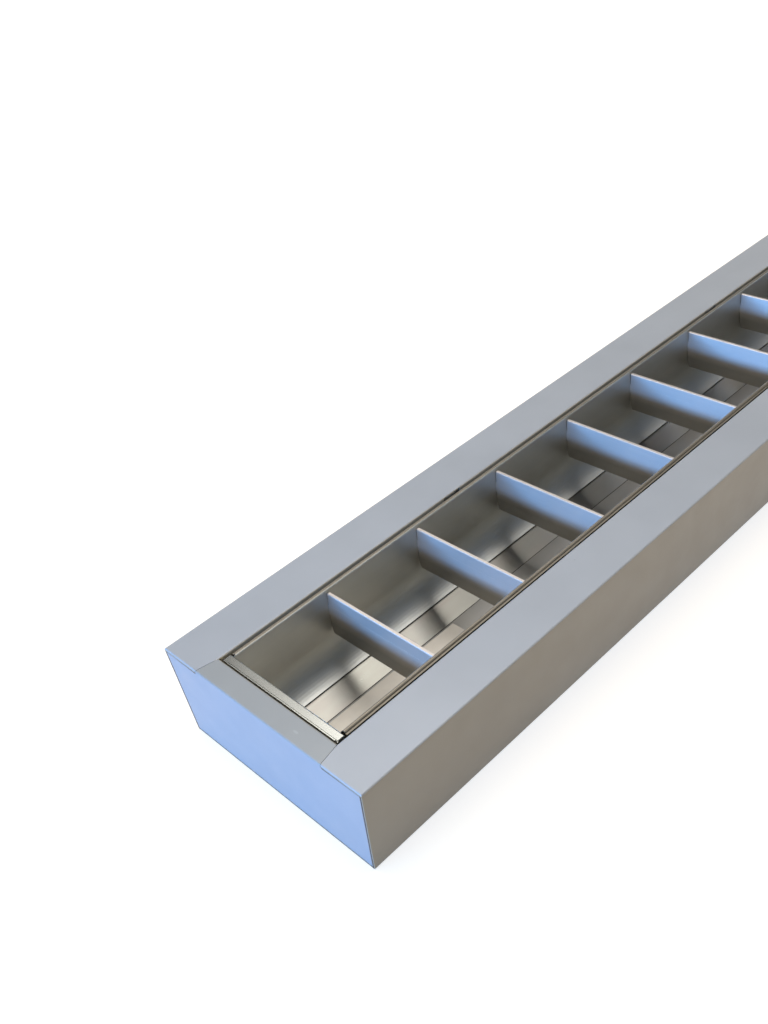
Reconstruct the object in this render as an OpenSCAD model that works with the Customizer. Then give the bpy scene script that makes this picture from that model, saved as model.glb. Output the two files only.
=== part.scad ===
// Surface-mounted louvre fitting for one straight fluorescent tube.
// It lies on its ceiling face: X runs along the fitting, +Z points out of the light opening,
// and the origin is the centre of the ceiling face.

/* [Housing] */
// Width of the side with the light opening
face_w = 200; // [198:1:230]
// Height from the ceiling face to the light-opening face
fitting_h = 80; // [79:1:95]
// How far each long side leans in at the back
side_inset = 6.4; // [0:0.1:8]
// How far each end plate leans in at the back
end_inset = 3; // [0:0.1:5]
// Thickness of the painted steel sheet
steel_t = 0.8; // [0.7:0.05:1]
// Width of each long flange beside the light opening
flange_w = 40; // [39:0.5:48]
// Width of each end flange
end_flange_w = 18; // [16:0.5:19]

/* [Louvre] */
// Distance between neighbouring cross blades
blade_pitch = 94; // [80:1:120]
// Distance from each end face to its nearest cross blade, before whole cells are counted
first_blade = 113; // [100:1:140]
// Depth of a cross blade
blade_h = 34.5; // [30:0.5:36]
// Width of a cross blade at its folded edge
blade_top_w = 3; // [2:0.1:4]
// Width of a cross blade at its open foot
blade_foot_w = 9; // [6:0.5:14]
// Thickness of the aluminium sheet
alu_t = 0.5; // [0.4:0.05:0.6]
// Gap between the louvre rail and the long flange
rail_gap = 2; // [1.8:0.1:2.5]
// Width of the rail along each side reflector, with its rolled bead
rail_w = 4.5; // [4:0.1:6]
// Width of the bar that closes each end of the louvre
end_bar_w = 7.6; // [6:0.2:8]

/* [Centre reflector] */
// Distance from the louvre rail's inner edge to the reflector's edge below it
centre_inset = 17; // [16:0.5:20]
// Height of its two outer edges above the ceiling face
centre_edge_h = 14.5; // [12:0.5:16]
// Height of its flat middle above the ceiling face
centre_flat_h = 6.4; // [5:0.2:8]
// Width of the strip along its middle
strip_w = 33.2; // [28:0.2:36]
// Length of the plain rating label
label_l = 144; // [80:1:300]

/* [Lamp] */
// Length of the tube between its two cap faces
lamp_l = 1199.4; // [1190:0.1:1205]
// Diameter of the tube
lamp_d = 26; // [24:0.5:26]
// Height of the tube's centre line above the ceiling face
lamp_z = 23; // [22:0.5:24]

/* [Gear] */
// Length of the ballast
ballast_l = 155; // [120:1:230]
// Width of the ballast
ballast_w = 40; // [34:0.5:40]
// Height of the ballast
ballast_h = 28; // [22:0.5:28]
// Diameter of the starter
starter_d = 21.5; // [18:0.5:22]
// Length of the starter's can
starter_l = 36; // [30:1:45]
// Outer diameter of an inner wire
wire_d = 2; // [1.6:0.1:2.4]

/* [Fixing] */
// Distance between fixing slots along the fitting
slot_pitch_x = 900; // [600:10:1000]
// Distance from the centre reflector's edge to the middle of a fixing slot
slot_out = 9.5; // [9:0.5:11]
// Width of a fixing slot
slot_w = 7; // [5:0.5:8]
// Length of a fixing slot
slot_l = 14; // [10:0.5:20]
// Diameter of the cable hole through the grommet
cable_d = 10; // [7:0.5:12]

/* [Hidden] */
$fn = 48;
// one overrun for every cut
cut = 1;
// running gap between sheets of one body that only meet
seat = 0.05;

// lampholders, set by the tube, and the end plates just behind them
cap_play = 0.3;
rotor_proud = 1.5;
holder_t = 15;
bracket_gap = 0.9;
cap_tab = 8;
rotor_face_x = lamp_l / 2 + cap_play;
holder_back_x = rotor_face_x + rotor_proud + holder_t;

// housing outline
end_x = holder_back_x + steel_t + bracket_gap + cap_tab + steel_t + end_inset;
fitting_l = 2 * end_x;
face_y = face_w / 2;
open_y = face_y - flange_w;
back_y = face_y - side_inset;
open_x = end_x - end_flange_w;
function side_y(z) = back_y + side_inset * z / fitting_h;
function plate_x(z) = end_x - end_inset * (1 - z / fitting_h);
seam_flare = 3.8;
seam_gap = 0.3;
cap_gap = 0.5;
// bends in the steel sheet, the returns round the light opening, and the lips on the long flanges' ends
fold_in = 0.4;
fold_r = fold_in + steel_t;
fold_steps = 4;
return_h = 3.6;
return_relief = 1;
lip_fold_h = 2.2;
lip_slit = 0.35;
cap_tab_in = 14;
cap_tab_y = back_y - cap_tab_in;
rivet_d = 4;
rivet_head_d = 7;
rivet_head_h = 1.2;
rivet_in = 12;
rivet_y = cap_tab_y - rivet_in;

// louvre outline, with the light opening above it
rail_drop = 1;
rail_z = fitting_h - rail_drop;
hem_y = open_y - rail_gap - rail_w;
// the bead rolled along the top of each side reflector, and the ledge outside it
crest_drop = 0.2;
crest_z = fitting_h - crest_drop;
bead_r = 1.5;
bead_steps = 8;
bead_y = hem_y + bead_r;
bead_z = crest_z - bead_r;
ledge_drop = 1.6;
ledge_z = crest_z - ledge_drop;
blade_drop = 3.5;
blade_z = fitting_h - blade_drop;
foot_z = blade_z - blade_h;
wall_inset = 1.8;
lip_in = 2.5;
lip_gap = 1.2;
centre_y = hem_y - centre_inset;
lip_y = centre_y - lip_in;
lip_z = centre_edge_h + lip_gap;
bar_gap = 0.9;
bar_x = open_x - bar_gap;
bar_inner_x = bar_x - end_bar_w;
bar_hem_w = 0.8;
bar_groove_w = 0.8;
bar_groove_depth = 0.8;
bar_bevel = 1.5;
rail_notch = 1.2;
skirt_drop = 9;
blade_count = 1 + round((fitting_l - 2 * first_blade) / blade_pitch);
function blade_x(i) = (i - (blade_count + 1) / 2) * blade_pitch;
tab_l = 1.4;
tab_h = 9;
tab_play = 0.2;
tab_drop = 10;
blade_side_gap = 0.4;
foot_notch_w = 2;
foot_notch_h = 6;

// each side reflector: a leaning wall, then an arc tangent to it that ends at the lower lip
wall_top = [hem_y, bead_z];
wall_foot = [hem_y - wall_inset, foot_z];
wall_dir = (wall_foot - wall_top) / norm(wall_foot - wall_top);
wall_in = [wall_dir[1], -wall_dir[0]];
lip = [lip_y, lip_z];
chord = lip - wall_foot;
arc_r = chord * chord / (2 * chord * wall_in);
arc_c = wall_foot + arc_r * wall_in;
arc_from = atan2(wall_foot[1] - arc_c[1], wall_foot[0] - arc_c[0]);
arc_to = atan2(lip[1] - arc_c[1], lip[0] - arc_c[0]);
arc_steps = 14;
function arc_point(i, r) =
    let (a = arc_from + (arc_to - arc_from) * i / arc_steps) arc_c + r * [cos(a), sin(a)];
function wall_y(z) = hem_y - wall_inset * (bead_z - z) / (bead_z - foot_z);
function bead_point(i, r) = [bead_y, bead_z] + r * [cos(180 * i / bead_steps), sin(180 * i / bead_steps)];

// louvre hinge under the long flange at +Y
pin_d = 2.4;
pin_play = 0.08;
pin_gap = 0.4;
knuckle_t = 0.8;
knuckle_r = pin_d / 2 + knuckle_t;
hinge_in = 2;
hinge_y = open_y + hinge_in;
hinge_z = fitting_h - steel_t - pin_gap - knuckle_r;
// hinges and catches sit in the middle of a cell, a third of the way to each end and at the centre
third_cells = floor(blade_count / 3);
cell_shift = (blade_count % 2) * blade_pitch / 2;
hinge_places = [for (k = [-1 : 1]) k * third_cells * blade_pitch + cell_shift];
knuckle_l = 12;
ear_t = 1.6;
ear_gap = 0.6;
pin_l = knuckle_l + 2 * ear_gap + 2 * ear_t;
arm_t = 1;
arm_drop = 4.4;
arm_leave_share = 0.7;
arm_out = 3;
pad_h = 9;
web_gap = 1;
web_t = 1;
plate_w = 12;

// louvre catches under the long flange at -Y
catch_places = [hinge_places[0], hinge_places[2]];
catch_l = 16;
leaf_t = 0.6;
leaf_gap = 0.3;
leaf_h = 13;
leaf_in = 3.2;
nose_r = 1.2;
nose_drop = 8;
nose_gap = 0.35;
strike_l = 12;
strike_h = 10;
// the louvre's outer parts stay inside this radius round the hinge while it swings
sweep_r = norm([hinge_y + arc_c[0], hinge_z - arc_c[1]]) + arc_r + alu_t;
strike_y = hinge_y - sweep_r;
catch_axis_y = -(open_y + leaf_in);

// centre reflector and what lies on it
strip_gap = 0.6;
flat_y = strip_w / 2 + strip_gap;
centre_end_gap = 1;
label_t = 0.2;
label_edge = 2;
label_in = 21;
reflector_screw_in = 10;
screw_d = 4;
screw_head_d = 7;
screw_head_h = 1.6;
screw_play = 0.2;

// lampholders
rotor_d = 19.6;
rotor_play = 0.15;
rotor_depth = 8.5;
rotor_slot_w = 2.8;
rotor_slot_depth = 7.4;
head_rim = 0.6;
holder_head_r = lamp_d / 2 + head_rim;
holder_w = 22;
holder_foot_w = 30;
holder_foot_h = 3;
pin_slot_w = 5;
bracket_w = 34;
bracket_h = 16;
bracket_foot = 8;

// ballast under the long flange at +Y
gear_wall_gap = 1;
gear_y = side_y(0) - steel_t - gear_wall_gap - ballast_w / 2;
ballast_x = -170;
ballast_foot_t = 1;
core_l_share = 0.72;
core_side = 1;
bobbin_in = 3;
bobbin_l = 14;
ballast_slot_w = 4.4;
ballast_slot_in = 6;
ballast_terminal_l = 12;
ballast_terminal_h = 15;
ballast_terminal_w = 24;

// earth screw, terminal block, cable entry and starter, in a row after the ballast
earth_out = 17.5;
terminal_out = 35;
cable_out = 50;
starter_out = 50;
earth_x = ballast_x + ballast_l / 2 + earth_out;
terminal_x = earth_x + terminal_out;
cable_x = terminal_x + cable_out;
starter_x = cable_x + starter_out;
starter_axis_z = steel_t + starter_d / 2 + 2 * wire_d;
starter_block_t = 13;
starter_block_w = 26;
starter_socket_r = 9;
starter_socket_depth = 5;
starter_pin_r = 2.3;
starter_pin_pitch = 12.7;
starter_pin_l = 4;
starter_gap = 0.4;
starter_rim = 1;

// terminal block, cable entry and earth screw
terminal_l = 32;
terminal_w = 16;
terminal_h = 17;
terminal_step = 4;
pole_pitch = 10;
pole_bore = 3.4;
pole_screw_d = 3.6;
grommet_neck = 2.5;
grommet_lip = 3;
grommet_lip_t = 1.4;
emboss_h = 1.6;
emboss_rim = 2.5;
earth_head_d = 8;
earth_head_h = 3;
earth_washer_d = 10;
earth_washer_t = 1;

// wires, laid beside the centre reflector and round behind the lampholders
wire_r = wire_d / 2;
wire_z = 2 * steel_t + 2 * wire_r;
wire_pitch = 2 * wire_d;
wire_sides = 8;
wire_bend = 3 * wire_d;
bend_share = 0.45;
bend_steps = 3;
wire_twist_axis = [0.3, 0.5, 0.8];
wire_behind = 3.5;
wire_side = 6;
wire_entry_z = steel_t + holder_foot_h + wire_d;
slot_margin = 3.5;
// lanes beside the centre reflector, and wider ones that leave the fixing slots free
slot_y = centre_y + slot_out;
function near_y(lane) = centre_y + (1 + lane) * wire_pitch;
function run_y(lane) = slot_y + slot_w / 2 + slot_margin + lane * wire_pitch;

painted = [0.80, 0.81, 0.83];
satin = [0.72, 0.72, 0.70];
bright = [0.82, 0.82, 0.82];
zinc = [0.66, 0.67, 0.68];
white_plastic = [0.93, 0.93, 0.91];

// a YZ outline drawn out along X from x0
module along_x(x0, l) {
    translate([x0, 0, 0]) rotate([90, 0, 90]) linear_extrude(height = l) children();
}

// an XZ outline drawn out along Y, centred on y = 0
module across_y(w) {
    translate([0, w / 2, 0]) rotate([90, 0, 0]) linear_extrude(height = w) children();
}

function unit(v) = v / norm(v);

// arc of radius r that rounds the corner p between a and b
function fold(a, p, b, r) =
    let (u = unit(a - p), v = unit(b - p), half = acos(u * v) / 2,
         c = p + r / sin(half) * unit(u + v),
         from = p + r / tan(half) * u - c, to = p + r / tan(half) * v - c,
         start = atan2(from[1], from[0]), turn = atan2(from[0] * to[1] - from[1] * to[0], from * to))
    [for (k = [0 : fold_steps]) let (t = start + turn * k / fold_steps) c + r * [cos(t), sin(t)]];

// a path with each of its inner corners rounded
function folds(path, r) =
    [for (i = [1 : len(path) - 2]) each fold(path[i - 1], path[i], path[i + 1], r)];

module far_end(is_far) {
    if (is_far) children();
    else mirror([1, 0, 0]) children();
}

// slot along X through the back sheet
module slot(l, w) {
    for (s = [-1, 1]) translate([s * (l - w) / 2, 0, -cut]) cylinder(d = w, h = steel_t + 2 * cut);
    translate([-(l - w) / 2, -w / 2, -cut]) cube([l - w, w, steel_t + 2 * cut]);
}

// back, leaning side, long flange and the return at its inner edge, all bent from one sheet
module tray_outline() {
    top = fitting_h - steel_t;
    low = fitting_h - return_h;
    right = concat(
        folds([[0, 0], [back_y, 0], [face_y, fitting_h], [open_y, fitting_h], [open_y, low]], fold_r),
        [[open_y, low], [open_y + steel_t, low]],
        folds([[open_y + steel_t, low], [open_y + steel_t, top], [side_y(top) - steel_t, top],
               [side_y(steel_t) - steel_t, steel_t], [0, steel_t]], fold_in));
    left = [for (i = [len(right) - 1 : -1 : 0]) [-right[i][0], right[i][1]]];
    polygon(concat(right, left));
}

// what lies beyond the leaning end plane and the rounded edge above it
module beyond_end() {
    past = end_x + end_inset + cut;
    across_y(face_w + 2 * cut)
        polygon(concat([[past, -cut], [plate_x(-cut), -cut]],
            fold([plate_x(0), 0], [end_x, fitting_h], [open_x, fitting_h], fold_r),
            [[end_x - 2 * fold_r, fitting_h + cut], [past, fitting_h + cut]]));
}

// plan of the end flange, which widens towards the end face
module end_flange_plan(grow, before, past) {
    polygon([[open_x - before, -open_y - grow], [open_x, -open_y - grow],
             [end_x + past, -open_y - seam_flare - grow], [end_x + past, open_y + seam_flare + grow],
             [open_x, open_y + grow], [open_x - before, open_y + grow]]);
}

// short folds that close the ends of the long flanges beside the end flange
module end_lips() {
    low = fitting_h - lip_fold_h;
    top = fitting_h - steel_t / 2;
    y = open_y + seam_flare + seam_gap;
    intersection() {
        across_y(face_w) polygon([[plate_x(low) - steel_t, low], [end_x + cut, low],
                                  [end_x + cut, top], [plate_x(top) - steel_t, top]]);
        for (s = [-1, 1]) scale([1, s, 1]) along_x(open_x, end_flange_w + 2 * cut)
            polygon([[y, low], [side_y(low) - steel_t / 2, low], [side_y(top) - steel_t / 2, top], [y, top]]);
    }
}

// gap in the return under one long flange, for a hinge or an end flange
module return_gap(x, l) {
    translate([x, open_y - cut, fitting_h - return_h - cut])
        cube([l, cut + fold_r, cut + return_h - steel_t]);
}

module housing_tray() {
    boss_r = cable_d / 2 + grommet_neck + grommet_lip + emboss_rim;
    color(painted) difference() {
        union() {
            along_x(-end_x, fitting_l) tray_outline();
            for (far = [true, false]) far_end(far) end_lips();
            translate([cable_x, gear_y, 0])
                cylinder(r = boss_r, h = steel_t + emboss_h);
        }
        for (far = [true, false]) far_end(far) {
            beyond_end();
            translate([0, 0, fitting_h - steel_t - cut]) linear_extrude(height = steel_t + 2 * cut)
                end_flange_plan(seam_gap, 0, cut);
            for (s = [-1, 1]) scale([1, s, 1])
                return_gap(open_x - return_relief, end_flange_w + return_relief + cut);
            for (y = [-rivet_y, 0, rivet_y])
                translate([rivet_x(), y, -cut]) cylinder(d = rivet_d + 2 * seat, h = steel_t + 2 * cut);
        }
        for (x = hinge_places) return_gap(x - pin_l / 2 - return_relief, pin_l + 2 * return_relief);
        for (x = [-1, 1], y = [-1, 1])
            translate([x * slot_pitch_x / 2, y * slot_y, 0]) slot(slot_l, slot_w);
        translate([cable_x, gear_y, -cut]) cylinder(r = boss_r - steel_t, h = emboss_h + cut);
        translate([cable_x, gear_y, 0])
            cylinder(r = cable_d / 2 + grommet_neck + seat, h = steel_t + emboss_h + cut);
    }
}

function rivet_x() = plate_x(steel_t) - steel_t - cap_tab / 2;

// tab on the back, end plate, end flange and the return at its inner edge, bent from one sheet
module end_cap_outline() {
    low = steel_t + seat;
    top = fitting_h - steel_t;
    hem = fitting_h - return_h;
    tab_x = plate_x(low) - steel_t - cap_tab;
    polygon(concat(
        folds([[tab_x, low], [plate_x(low), low], [end_x, fitting_h], [open_x, fitting_h], [open_x, hem]],
              fold_r),
        [[open_x, hem], [open_x + steel_t, hem]],
        folds([[open_x + steel_t, hem], [open_x + steel_t, top], [plate_x(top) - steel_t, top],
               [plate_x(low + steel_t) - steel_t, low + steel_t], [tab_x, low + steel_t]], fold_in),
        [[tab_x, low + steel_t], [tab_x, low]]));
}

module end_cap(is_far) {
    low = steel_t + seat;
    shoulder = fitting_h - lip_fold_h - lip_slit;
    plate_in = end_x - end_inset - fold_r;
    function half_w(z) = side_y(z) - steel_t - cap_gap;
    color(painted) far_end(is_far) difference() {
        intersection() {
            across_y(face_w) end_cap_outline();
            union() {
                linear_extrude(height = fitting_h + cut) end_flange_plan(0, cut, cut);
                along_x(plate_in, end_x - plate_in + cut) polygon([
                    [-half_w(low), 0], [half_w(low), 0], [half_w(shoulder), shoulder],
                    [-half_w(shoulder), shoulder]]);
                translate([open_x, -cap_tab_y, 0]) cube([end_flange_w, 2 * cap_tab_y, low + fold_r]);
            }
        }
        for (y = [-rivet_y, 0, rivet_y])
            translate([rivet_x(), y, 0]) cylinder(d = rivet_d + 2 * seat, h = low + steel_t + cut);
    }
}

module end_cap_rivets() {
    color(zinc) for (far = [true, false], y = [-rivet_y, 0, rivet_y]) far_end(far)
        translate([rivet_x(), y, 0]) {
            cylinder(d = rivet_d, h = 2 * steel_t + seat + rivet_head_h);
            translate([0, 0, 2 * steel_t + seat]) cylinder(d1 = rivet_head_d, d2 = rivet_d, h = rivet_head_h);
        }
}

function centre_end_x() = rotor_face_x - centre_end_gap;

// folded sheet: two legs on the back, two slopes and a flat middle
module centre_reflector() {
    drop = alu_t * (1 + (centre_edge_h - centre_flat_h) / (centre_y - flat_y));
    half = [[centre_y, steel_t + seat], [centre_y, centre_edge_h], [flat_y, centre_flat_h]];
    inner = [[flat_y, centre_flat_h - alu_t], [centre_y - alu_t, centre_edge_h - drop],
             [centre_y - alu_t, steel_t + seat]];
    color(satin) difference() {
        along_x(-centre_end_x(), 2 * centre_end_x())
            polygon(concat(half,
                [for (p = [half[2], half[1], half[0]]) [-p[0], p[1]]],
                [for (p = [inner[2], inner[1], inner[0]]) [-p[0], p[1]]], inner));
        for (far = [true, false], y = [-1, 1]) far_end(far)
            translate([centre_end_x() - reflector_screw_in, y * reflector_screw_y(), 0])
                cylinder(d = screw_d + 2 * screw_play, h = fitting_h);
    }
}

function reflector_screw_y() = strip_w / 2 - screw_head_d / 2 - label_edge;

module centre_strip() {
    color(satin) difference() {
        along_x(-centre_end_x(), 2 * centre_end_x())
            translate([-strip_w / 2, centre_flat_h]) square([strip_w, alu_t]);
        for (far = [true, false], y = [-1, 1]) far_end(far)
            translate([centre_end_x() - reflector_screw_in, y * reflector_screw_y(), 0])
                cylinder(d = screw_d + 2 * screw_play, h = fitting_h);
    }
}

module rating_label() {
    color([0.78, 0.76, 0.70])
        translate([-centre_end_x() + label_in, -strip_w / 2 + label_edge, centre_flat_h + alu_t])
            cube([label_l, strip_w - 2 * label_edge, label_t]);
}

// pan-head screws through the strip and the reflector into the back
module reflector_screws() {
    color(zinc) for (far = [true, false], y = [-1, 1]) far_end(far)
        translate([centre_end_x() - reflector_screw_in, y * reflector_screw_y(), steel_t]) {
            cylinder(d = screw_d, h = centre_flat_h + alu_t - steel_t);
            translate([0, 0, centre_flat_h + alu_t - steel_t]) difference() {
                cylinder(d1 = screw_head_d, d2 = screw_d, h = screw_head_h);
                for (a = [0, 90]) rotate([0, 0, a])
                    translate([-screw_d / 3, -screw_d / 12, screw_head_h / 2])
                        cube([2 * screw_d / 3, screw_d / 6, screw_head_h]);
            }
        }
}

function holder_x() = rotor_face_x + rotor_proud;

// steel angle that carries a lampholder
module holder_bracket(is_far) {
    x = holder_x() + holder_t;
    color(zinc) far_end(is_far) difference() {
        union() {
            translate([x, -bracket_w / 2, steel_t]) cube([steel_t, bracket_w, bracket_h]);
            translate([x - bracket_foot, holder_foot_w / 2 + seat, steel_t])
                cube([bracket_foot + steel_t, (bracket_w - holder_foot_w) / 2 - seat, holder_foot_h]);
            translate([x - bracket_foot, -bracket_w / 2, steel_t])
                cube([bracket_foot + steel_t, (bracket_w - holder_foot_w) / 2 - seat, holder_foot_h]);
        }
        for (y = [-1, 1]) translate([x - cut, y * wire_side, wire_entry_z])
            rotate([0, 90, 0]) cylinder(r = 2 * wire_r, h = steel_t + 2 * cut);
    }
}

// white socket: round head on a column, open at the top for the tube's two pins
module lampholder(is_far) {
    depth = rotor_depth - rotor_proud + rotor_play;
    color(white_plastic) far_end(is_far) difference() {
        along_x(holder_x(), holder_t) {
            translate([0, lamp_z]) circle(r = holder_head_r);
            translate([-holder_w / 2, steel_t]) square([holder_w, lamp_z - steel_t]);
            translate([-holder_foot_w / 2, steel_t]) square([holder_foot_w, holder_foot_h]);
        }
        translate([holder_x() - cut, 0, lamp_z]) rotate([0, 90, 0])
            cylinder(r = rotor_d / 2 + rotor_play, h = depth + cut);
        translate([holder_x() - cut, -pin_slot_w / 2, lamp_z])
            cube([depth + cut, pin_slot_w, holder_head_r + cut]);
        for (y = [-1, 1]) translate([holder_x() + holder_t - wire_behind, y * wire_side, wire_entry_z])
            rotate([0, 90, 0]) cylinder(r = wire_r + seat, h = wire_behind + cut);
    }
}

// turning insert with the slot that takes the tube's pins
module rotor(is_far) {
    color([0.88, 0.88, 0.86]) far_end(is_far) difference() {
        translate([rotor_face_x, 0, lamp_z]) rotate([0, 90, 0]) cylinder(d = rotor_d, h = rotor_depth);
        translate([rotor_face_x - cut, -rotor_slot_w / 2, lamp_z - rotor_d / 2 - cut])
            cube([rotor_slot_depth + cut, rotor_slot_w, rotor_d + 2 * cut]);
    }
}

// laminated core between two coil ends on a slotted foot
module ballast() {
    core_l = ballast_l * core_l_share;
    core_w = ballast_w - 2 * core_side;
    core_h = ballast_h - ballast_foot_t;
    slot_x = ballast_l / 2 - ballast_slot_in;
    color([0.55, 0.56, 0.58]) translate([ballast_x, gear_y, steel_t]) {
        difference() {
            translate([-ballast_l / 2, -ballast_w / 2, 0]) cube([ballast_l, ballast_w, ballast_foot_t]);
            for (s = [-1, 1]) translate([s * slot_x, 0, -cut])
                cylinder(d = ballast_slot_w, h = ballast_foot_t + 2 * cut);
        }
        translate([-core_l / 2, 0, ballast_foot_t]) rotate([90, 0, 90]) linear_extrude(height = core_l)
            polygon([[-core_w / 2, 0], [core_w / 2, 0], [core_w / 2, core_h - core_side],
                     [core_w / 2 - core_side, core_h], [core_side - core_w / 2, core_h],
                     [-core_w / 2, core_h - core_side]]);
        for (s = [0, 1]) mirror([s, 0, 0])
            translate([core_l / 2, 0, ballast_foot_t]) rotate([90, 0, 90])
                linear_extrude(height = bobbin_l / 2)
                    polygon([[bobbin_in - core_w / 2, 0], [core_w / 2 - bobbin_in, 0],
                             [core_w / 2 - bobbin_in, core_h - 2 * bobbin_in],
                             [core_w / 2 - 2 * bobbin_in, core_h - bobbin_in],
                             [2 * bobbin_in - core_w / 2, core_h - bobbin_in],
                             [bobbin_in - core_w / 2, core_h - 2 * bobbin_in]]);
    }
}

function ballast_terminal_x() = ballast_x + ballast_l * core_l_share / 2 + bobbin_l / 2;
function ballast_terminal_z() = steel_t + ballast_foot_t + wire_d;

module ballast_terminal() {
    color(white_plastic) difference() {
        translate([ballast_terminal_x(), gear_y - ballast_terminal_w / 2, ballast_terminal_z()])
            cube([ballast_terminal_l / 2, ballast_terminal_w, ballast_terminal_h]);
        for (y = [-1, 0, 1])
            translate([ballast_terminal_x() + ballast_terminal_l / 4,
                       gear_y + y * ballast_terminal_w / 3, ballast_terminal_z() + ballast_terminal_h / 2])
                rotate([0, 90, 0]) cylinder(r = wire_r + seat, h = ballast_terminal_l);
    }
}

module ballast_screws() {
    slot_x = ballast_l / 2 - ballast_slot_in;
    color(zinc) for (s = [-1, 1]) translate([ballast_x + s * slot_x, gear_y, steel_t]) {
        cylinder(d = screw_d, h = ballast_foot_t);
        translate([0, 0, ballast_foot_t]) cylinder(d = screw_head_d, h = screw_head_h);
    }
}

// upright block with a round socket facing +X
module starter_holder() {
    h = 2 * (starter_axis_z - steel_t);
    color(white_plastic) difference() {
        translate([starter_x - starter_block_t, gear_y - starter_block_w / 2, steel_t])
            cube([starter_block_t, starter_block_w, h]);
        translate([starter_x - starter_socket_depth, gear_y, starter_axis_z]) rotate([0, 90, 0])
            cylinder(r = starter_socket_r, h = starter_socket_depth + cut);
    }
}

// can with a rim and two pins, which twists into its holder
module starter() {
    color([0.90, 0.90, 0.88])
    translate([starter_x + starter_gap, gear_y, starter_axis_z]) rotate([0, 90, 0]) {
        cylinder(d = starter_d, h = starter_l - starter_rim);
        translate([0, 0, starter_l - starter_rim])
            cylinder(d1 = starter_d, d2 = starter_d - 2 * starter_rim, h = starter_rim);
        for (s = [-1, 1]) translate([0, s * starter_pin_pitch / 2, -starter_pin_l])
            cylinder(r = starter_pin_r, h = starter_pin_l);
    }
}

module terminal_at() {
    translate([terminal_x, gear_y, steel_t]) children();
}

// three-pole block with stepped shoulders, wire bores and screw wells
module terminal_block() {
    color(white_plastic) terminal_at() difference() {
        translate([-terminal_l / 2, 0, 0]) rotate([90, 0, 90]) linear_extrude(height = terminal_l)
            polygon([[-terminal_w / 2, 0], [terminal_w / 2, 0],
                     [terminal_w / 2, terminal_h - terminal_step],
                     [terminal_w / 2 - terminal_step, terminal_h],
                     [terminal_step - terminal_w / 2, terminal_h],
                     [-terminal_w / 2, terminal_h - terminal_step]]);
        for (i = [-1 : 1]) {
            translate([i * pole_pitch, terminal_w / 2 + cut, terminal_h / 2]) rotate([90, 0, 0])
                cylinder(d = pole_bore, h = terminal_w + 2 * cut);
            translate([i * pole_pitch, 0, terminal_h / 2])
                cylinder(d = pole_screw_d + 2 * seat, h = terminal_h);
        }
    }
}

module terminal_screws() {
    z = terminal_h / 2 + pole_bore / 2;
    color(zinc) terminal_at() for (i = [-1 : 1]) translate([i * pole_pitch, 0, z]) difference() {
        cylinder(d = pole_screw_d, h = terminal_h - z - pole_screw_d / 4);
        translate([-pole_screw_d, -pole_screw_d / 10, terminal_h - z - pole_screw_d / 2])
            cube([2 * pole_screw_d, pole_screw_d / 5, pole_screw_d]);
    }
}

// rubber grommet with a groove round its waist, seated in the embossed cable hole
module cable_grommet() {
    r = cable_d / 2;
    neck = r + grommet_neck;
    lip_r = neck + grommet_lip;
    low = emboss_h - grommet_lip_t;
    color([0.16, 0.16, 0.17]) translate([cable_x, gear_y, 0]) rotate_extrude()
        polygon([[r, low], [lip_r, low], [lip_r, emboss_h], [neck, emboss_h],
                 [neck, emboss_h + steel_t], [lip_r, emboss_h + steel_t],
                 [lip_r, emboss_h + steel_t + grommet_lip_t / 2],
                 [neck, emboss_h + steel_t + grommet_lip_t], [r, emboss_h + steel_t + grommet_lip_t]]);
}

module earth_screw() {
    color([0.75, 0.62, 0.32]) translate([earth_x, gear_y - terminal_w, steel_t]) {
        cylinder(d = earth_washer_d, h = earth_washer_t);
        translate([0, 0, earth_washer_t]) difference() {
            cylinder(d = earth_head_d, h = earth_head_h, $fn = 6);
            translate([-earth_head_d, -earth_head_d / 16, earth_head_h / 2])
                cube([2 * earth_head_d, earth_head_d / 8, earth_head_h]);
        }
    }
}

// one corner of a route as a bend between its two straight runs
function bend(a, p, b) =
    let (reach = min(wire_bend, bend_share * min(norm(a - p), norm(b - p))),
         from = p + reach * unit(a - p), to = p + reach * unit(b - p))
    [for (k = [0 : bend_steps]) let (u = k / bend_steps)
        (1 - u) * (1 - u) * from + 2 * u * (1 - u) * p + u * u * to];

// insulated wire swept along a route, bent at every corner
module wire(points) {
    last_point = len(points) - 1;
    path = concat([points[0]],
        [for (i = [1 : last_point - 1]) each bend(points[i - 1], points[i], points[i + 1])],
        [points[last_point]]);
    last = len(path) - 1;
    n = wire_sides;
    rings = [for (i = [0 : last]) let (
        along = unit(path[min(i + 1, last)] - path[max(i - 1, 0)]),
        side = unit(cross(along, wire_twist_axis)),
        up = cross(along, side))
        for (k = [0 : n - 1]) path[i] + wire_r * (cos(360 * k / n) * side + sin(360 * k / n) * up)];
    skin = [for (i = [0 : last - 1], k = [0 : n - 1]) let (
        a = i * n + k, b = i * n + (k + 1) % n)
        each [[a, a + n, b + n], [a, b + n, b]]];
    polyhedron(points = rings, faces = concat([[for (k = [0 : n - 1]) k]], skin,
        [[for (k = [n - 1 : -1 : 0]) last * n + k]]));
}

ballast_near_x = ballast_x - ballast_l / 2;
pole_z = steel_t + terminal_h / 2;

// from a lampholder's back, round behind it and onto a lane that leaves the fixing slots free
function holder_route(side, s, lane) =
    let (turn_x = holder_back_x + wire_behind + lane * wire_pitch * 3 / 4) [
        [side * (holder_back_x - wire_behind / 2), s * wire_side, wire_entry_z],
        [side * turn_x, s * wire_side, wire_entry_z],
        [side * turn_x, run_y(lane), wire_entry_z],
        [side * (turn_x - 2 * wire_pitch), run_y(lane), wire_z]];

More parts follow.
